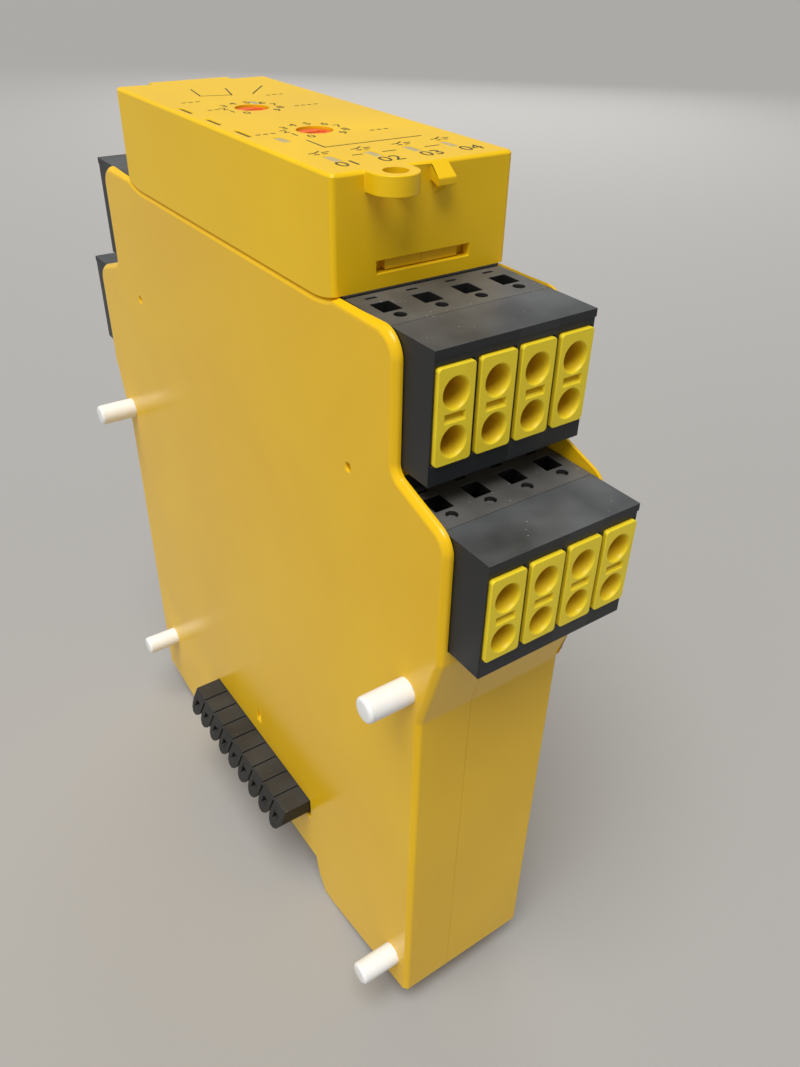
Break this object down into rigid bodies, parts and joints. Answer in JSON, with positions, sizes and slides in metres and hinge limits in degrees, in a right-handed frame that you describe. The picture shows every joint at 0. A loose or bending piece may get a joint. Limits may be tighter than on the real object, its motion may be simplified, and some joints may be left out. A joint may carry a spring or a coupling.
{
  "type": "safety relay module",
  "caption": "Narrow rail-mounted safety relay module with pull-off spring-clamp terminal plugs, a side bus connector, locating pins, setting dials and a sprung rail latch.",
  "frame": {"origin": "under the middle of the housing, on the plane of its two feet, where the rail runs through", "axes": "+Z from the rail to the front face, +Y along the housing towards the input end, X across the width with the locating pins at -X"},
  "size_m": [0.0289, 0.1074, 0.1208],
  "materials": {
    "housing": "satin signal yellow moulding",
    "front_cover": "satin signal yellow moulding",
    "pin_plastic": "smooth white moulding",
    "bus_plastic": "dark grey moulding",
    "plug_plastic": "black satin moulding",
    "entry_plastic": "lemon yellow moulding",
    "header_plastic": "black moulding",
    "spring_steel": "bright strip",
    "contact_metal": "plated contact",
    "board": "green circuit board",
    "relay_case": "moulded case",
    "component": "moulded package",
    "switch_case": "moulded case",
    "dial": "orange-red moulding",
    "light_guide": "clear grey moulding",
    "lamp": "lamp chip",
    "socket_plastic": "smooth white moulding",
    "latch_plastic": "black moulding"
  },
  "bodies": {
    "housing": {"board_link": "component", "bus_contacts": "contact_metal", "bus_plug": "bus_plastic", "bus_socket": "bus_plastic", "dc_converter": "component", "display_board": "board", "display_link": "component", "film_capacitors": "component", "front_cap": "front_cover", "header_input_front": "header_plastic", "header_input_rear": "header_plastic", "header_output_front": "header_plastic", "header_output_rear": "header_plastic", "header_pins_input_front": "contact_metal", "header_pins_input_rear": "contact_metal", "header_pins_output_front": "contact_metal", "header_pins_output_rear": "contact_metal", "latch_spring": "spring_steel", "left_shell": "housing", "light_guides": "light_guide", "locating_pin_input_front": "pin_plastic", "locating_pin_input_rear": "pin_plastic", "locating_pin_output_front": "pin_plastic", "locating_pin_output_rear": "pin_plastic", "logic_chips": "component", "main_board": "board", "pin_sockets": "socket_plastic", "power_board": "board", "right_shell": "housing", "rotary_switch_input": "switch_case", "rotary_switch_output": "switch_case", "safety_relay_1": "relay_case", "safety_relay_2": "relay_case", "status_lamps": "lamp", "terminal_board_input": "board", "terminal_board_output": "board"},
    "plug_output_front": {"plug_body_output_front": "plug_plastic", "plug_cover_output_front": "plug_plastic", "wire_entries_output_front": "entry_plastic", "clamp_springs_output_front": "spring_steel", "current_bars_output_front": "contact_metal"},
    "plug_output_rear": {"plug_body_output_rear": "plug_plastic", "plug_cover_output_rear": "plug_plastic", "wire_entries_output_rear": "entry_plastic", "clamp_springs_output_rear": "spring_steel", "current_bars_output_rear": "contact_metal"},
    "plug_input_front": {"plug_body_input_front": "plug_plastic", "plug_cover_input_front": "plug_plastic", "wire_entries_input_front": "entry_plastic", "clamp_springs_input_front": "spring_steel", "current_bars_input_front": "contact_metal"},
    "plug_input_rear": {"plug_body_input_rear": "plug_plastic", "plug_cover_input_rear": "plug_plastic", "wire_entries_input_rear": "entry_plastic", "clamp_springs_input_rear": "spring_steel", "current_bars_input_rear": "contact_metal"},
    "dial_output": {"dial_output": "dial"},
    "dial_input": {"dial_input": "dial"},
    "rail_latch": {"rail_latch": "latch_plastic"}
  },
  "joints": [
    {"name": "pull_output_front", "type": "slide", "parent": "housing", "child": "plug_output_front", "axis": [0, -1, 0], "range_m": [0, 0.016]},
    {"name": "pull_output_rear", "type": "slide", "parent": "housing", "child": "plug_output_rear", "axis": [0, -1, 0], "range_m": [0, 0.016]},
    {"name": "pull_input_front", "type": "slide", "parent": "housing", "child": "plug_input_front", "axis": [0, 1, 0], "range_m": [0, 0.016]},
    {"name": "pull_input_rear", "type": "slide", "parent": "housing", "child": "plug_input_rear", "axis": [0, 1, 0], "range_m": [0, 0.016]},
    {"name": "turn_dial_output", "type": "hinge", "parent": "housing", "child": "dial_output", "pos_m": [-0.002, -0.0092, 0.1206], "axis": [0, 0, 1], "continuous": true},
    {"name": "turn_dial_input", "type": "hinge", "parent": "housing", "child": "dial_input", "pos_m": [-0.002, 0.006, 0.1206], "axis": [0, 0, 1], "continuous": true},
    {"name": "latch_slide", "type": "slide", "parent": "housing", "child": "rail_latch", "axis": [0, 1, 0], "range_m": [0, 0.0024], "stiffness_N_per_m": 1500, "springref_m": -0.002, "deforming": ["latch_spring"]}
  ]
}
